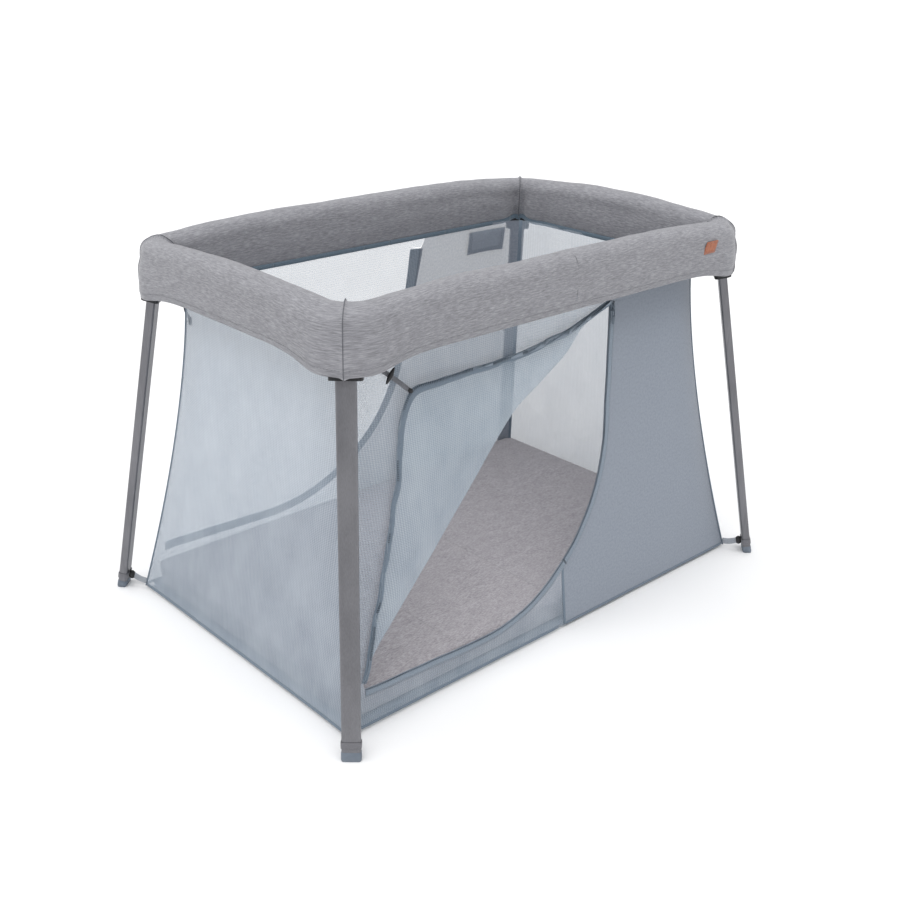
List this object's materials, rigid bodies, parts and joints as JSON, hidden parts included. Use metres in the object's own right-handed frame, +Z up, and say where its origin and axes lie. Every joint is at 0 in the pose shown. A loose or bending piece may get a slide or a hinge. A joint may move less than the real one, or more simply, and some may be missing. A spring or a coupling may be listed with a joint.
{
  "type": "playpen",
  "caption": "Folding travel playpen with splayed legs, padded top rail, see-through mesh tub, zipped side doors and a folding mattress.",
  "frame": {"origin": "on the ground under the middle of the frame", "axes": "+X along the long side towards the end with the tag, +Y from the open door's side to the rear, +Z up"},
  "size_m": [1.0434, 0.7264, 0.652],
  "materials": {
    "anodised_aluminium": "satin anodised",
    "pin_steel": "plated",
    "black_plastic": "moulded, matt",
    "grey_plastic": "moulded, matt",
    "melange_knit": "melange jersey knit over foam",
    "mattress_knit": "melange jersey knit",
    "dense_cloth": "dense woven mesh cloth",
    "mesh": "fine see-through warp-knit mesh",
    "base_cloth": "woven base cloth",
    "leather_tag": "smooth, blank",
    "zip_tape": "woven tape",
    "zip_metal": "moulded",
    "webbing": "woven webbing"
  },
  "bodies": {
    "left_end": {"leg_front_left": "anodised_aluminium", "leg_rear_left": "anodised_aluminium", "foot_caps_left": "grey_plastic", "hub_front_left": "black_plastic", "hub_rear_left": "black_plastic", "hub_pins_left": "pin_steel", "end_rail_left": "anodised_aluminium", "cover_left_end": "melange_knit", "wall_left": "mesh", "front_wall_left": "mesh", "rear_wall_left": "mesh", "corner_panels_left": "mesh", "floor_panel": "base_cloth", "front_zip_tape": "zip_tape", "rear_zip_tape": "zip_tape", "front_tie_strap": "webbing", "rear_tie_strap": "webbing", "floor_straps_left": "webbing", "strap_hooks_left": "black_plastic"},
    "right_end": {"leg_front_right": "anodised_aluminium", "leg_rear_right": "anodised_aluminium", "foot_caps_right": "grey_plastic", "hub_front_right": "black_plastic", "hub_rear_right": "black_plastic", "hub_pins_right": "pin_steel", "end_rail_right": "anodised_aluminium", "cover_right_end": "melange_knit", "wall_right": "mesh", "front_wall_right": "dense_cloth", "rear_wall_right": "dense_cloth", "corner_panels_right": "mesh", "pocket_flap": "dense_cloth", "floor_straps_right": "webbing", "strap_hooks_right": "black_plastic"},
    "front_rail_left": {"front_rail_left": "anodised_aluminium", "cover_front_left": "melange_knit"},
    "front_rail_right": {"front_rail_right": "anodised_aluminium", "cover_front_right": "melange_knit", "label_tag": "leather_tag"},
    "rear_rail_left": {"rear_rail_left": "anodised_aluminium", "cover_rear_left": "melange_knit"},
    "rear_rail_right": {"rear_rail_right": "anodised_aluminium", "cover_rear_right": "melange_knit"},
    "front_mid": {"front_mid_link": "black_plastic", "front_mid_pins": "pin_steel"},
    "rear_mid": {"rear_mid_link": "black_plastic", "rear_mid_pins": "pin_steel"},
    "front_button": {"front_lock_button": "grey_plastic"},
    "rear_button": {"rear_lock_button": "grey_plastic"},
    "front_door": {"front_door": "mesh"},
    "rear_door": {"rear_door": "mesh"},
    "front_slider": {"front_zip_slider": "zip_metal"},
    "front_pull": {"front_zip_pull": "zip_metal"},
    "rear_slider": {"rear_zip_slider": "zip_metal"},
    "rear_pull": {"rear_zip_pull": "zip_metal"},
    "tie_toggle": {"front_tie_toggle": "black_plastic"},
    "mattress_1": {"mattress_panel_1": "mattress_knit"},
    "mattress_2": {"mattress_panel_2": "mattress_knit"},
    "mattress_3": {"mattress_panel_3": "mattress_knit"},
    "mattress_4": {"mattress_panel_4": "mattress_knit"}
  },
  "joints": [
    {"name": "frame_fold", "type": "hinge", "parent": "left_end", "child": "front_rail_left", "pos_m": [-0.35211, -0.258, 0.6], "axis": [0, 1, 0], "range_deg": [0, 98.71], "deforming": ["cover_front_left", "cover_front_right", "cover_rear_left", "cover_rear_right", "label_tag", "wall_left", "wall_right", "front_wall_left", "front_wall_right", "rear_wall_left", "rear_wall_right", "corner_panels_left", "corner_panels_right", "floor_panel", "pocket_flap", "front_door", "rear_door", "front_zip_tape", "rear_zip_tape", "front_zip_slider", "front_zip_pull", "rear_zip_slider", "rear_zip_pull", "front_tie_strap", "rear_tie_strap", "front_tie_toggle"]},
    {"name": "front_mid_left", "type": "hinge", "parent": "front_rail_left", "child": "front_mid", "pos_m": [-0.06, -0.258, 0.6], "axis": [0, 1, 0], "range_deg": [-90, 0]},
    {"name": "front_mid_right", "type": "hinge", "parent": "front_mid", "child": "front_rail_right", "pos_m": [0.06, -0.258, 0.6], "axis": [0, 1, 0], "range_deg": [-90, 0]},
    {"name": "rear_hub_left", "type": "hinge", "parent": "left_end", "child": "rear_rail_left", "pos_m": [-0.35211, 0.258, 0.6], "axis": [0, 1, 0], "range_deg": [0, 98.71]},
    {"name": "rear_mid_left", "type": "hinge", "parent": "rear_rail_left", "child": "rear_mid", "pos_m": [-0.06, 0.258, 0.6], "axis": [0, 1, 0], "range_deg": [-90, 0]},
    {"name": "front_hub_right", "type": "hinge", "parent": "front_rail_right", "child": "right_end", "pos_m": [0.35211, -0.258, 0.6], "axis": [0, 1, 0], "range_deg": [0, 98.71]},
    {"name": "rear_hub_right", "type": "hinge", "parent": "right_end", "child": "rear_rail_right", "pos_m": [0.35211, 0.258, 0.6], "axis": [0, 1, 0], "range_deg": [-98.71, 0]},
    {"name": "mattress_end", "type": "hinge", "parent": "left_end", "child": "mattress_1", "pos_m": [-0.465, 0, 0.0575], "axis": [0, 1, 0], "range_deg": [-81.29, 0]},
    {"name": "mattress_fold_1", "type": "hinge", "parent": "mattress_1", "child": "mattress_2", "pos_m": [-0.2325, 0, 0.014], "axis": [0, 1, 0], "range_deg": [0, 180]},
    {"name": "mattress_fold_2", "type": "hinge", "parent": "mattress_2", "child": "mattress_3", "pos_m": [0, 0, 0.0575], "axis": [0, 1, 0], "range_deg": [-180, 0]},
    {"name": "mattress_fold_3", "type": "hinge", "parent": "mattress_3", "child": "mattress_4", "pos_m": [0.2325, 0, 0.014], "axis": [0, 1, 0], "range_deg": [0, 180]},
    {"name": "front_door_hinge", "type": "hinge", "parent": "left_end", "child": "front_door", "pos_m": [0.112, -0.23573, 0.55035], "axis": [-0.7696, -0.0836, -0.633], "range_deg": [-180, 0]},
    {"name": "front_zip_slide", "type": "slide", "parent": "right_end", "child": "front_slider", "axis": [-0.0923, -0.1303, -0.9872], "range_m": [0, 0.15]},
    {"name": "front_pull_swing", "type": "hinge", "parent": "front_slider", "child": "front_pull", "pos_m": [0.144, -0.24316, 0.53613], "axis": [-1, 0, 0], "range_deg": [0, 120]},
    {"name": "front_lock_press", "type": "slide", "parent": "front_mid", "child": "front_button", "axis": [0, 0, 1], "range_m": [0, 0.005], "stiffness_N_per_m": 300, "springref_m": -0.004},
    {"name": "rear_door_hinge", "type": "hinge", "parent": "left_end", "child": "rear_door", "pos_m": [0.112, 0.23573, 0.55035], "axis": [-0.7696, 0.0836, -0.633], "range_deg": [-180, 0]},
    {"name": "rear_zip_slide", "type": "slide", "parent": "right_end", "child": "rear_slider", "axis": [-0.0923, 0.1303, -0.9872], "range_m": [0, 0.15]},
    {"name": "rear_pull_swing", "type": "hinge", "parent": "rear_slider", "child": "rear_pull", "pos_m": [0.144, 0.24316, 0.53613], "axis": [1, 0, 0], "range_deg": [0, 120]},
    {"name": "rear_lock_press", "type": "slide", "parent": "rear_mid", "child": "rear_button", "axis": [0, 0, 1], "range_m": [0, 0.005], "stiffness_N_per_m": 300, "springref_m": -0.004},
    {"name": "tie_toggle_slide", "type": "slide", "parent": "left_end", "child": "tie_toggle", "axis": [0.7918, -0.0799, -0.6055], "range_m": [-0.012, 0.03]}
  ],
  "couplings": [
    {"joint": "front_mid_left", "follows": "frame_fold", "ratio": -0.91179},
    {"joint": "front_mid_right", "follows": "frame_fold", "ratio": -0.91179},
    {"joint": "rear_hub_left", "follows": "frame_fold", "ratio": 1},
    {"joint": "rear_mid_left", "follows": "frame_fold", "ratio": -0.91179},
    {"joint": "front_hub_right", "follows": "frame_fold", "ratio": 1},
    {"joint": "rear_hub_right", "follows": "frame_fold", "ratio": -1},
    {"joint": "mattress_end", "follows": "frame_fold", "ratio": -0.82358},
    {"joint": "mattress_fold_1", "follows": "frame_fold", "ratio": 1.8236},
    {"joint": "mattress_fold_2", "follows": "frame_fold", "ratio": -1.8236},
    {"joint": "mattress_fold_3", "follows": "frame_fold", "ratio": 1.8236}
  ]
}
